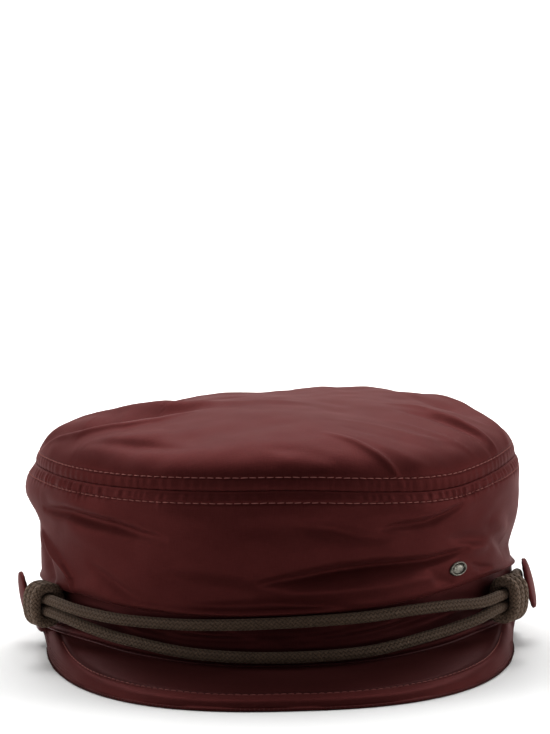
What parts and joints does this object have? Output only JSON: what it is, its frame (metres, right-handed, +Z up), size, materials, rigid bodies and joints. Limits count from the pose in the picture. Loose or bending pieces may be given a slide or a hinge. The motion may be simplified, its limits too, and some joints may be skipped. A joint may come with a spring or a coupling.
{
  "type": "sailor cap",
  "caption": "Soft-crowned cloth sailor cap with a short visor, a doubled cord over the band looped round covered side buttons, and a small oval metal stud.",
  "frame": {"origin": "centre of the bounding box's bottom, on the surface that the cap stands on", "axes": "-Y the way the visor points, +X to the right of someone who faces the visor, +Z up"},
  "size_m": [0.1874, 0.2438, 0.0891],
  "materials": {
    "crown_side": "soft satin-like woven cloth, burgundy",
    "crown_top": "soft satin-like woven cloth, burgundy",
    "band": "the same cloth, doubled",
    "visor": "the same cloth over a stiff board",
    "cord_loop": "matte braided cord, olive brown",
    "cord_coil_left": "matte braided cord, olive brown",
    "cord_coil_right": "matte braided cord, olive brown",
    "button_left": "cloth-covered",
    "button_right": "cloth-covered",
    "stud": "aged silver-coloured metal"
  },
  "bodies": {
    "root": {"crown_side": "crown_side", "crown_top": "crown_top", "band": "band", "visor": "visor", "cord_loop": "cord_loop", "cord_coil_left": "cord_coil_left", "cord_coil_right": "cord_coil_right", "button_left": "button_left", "button_right": "button_right", "stud": "stud"}
  },
  "joints": []
}
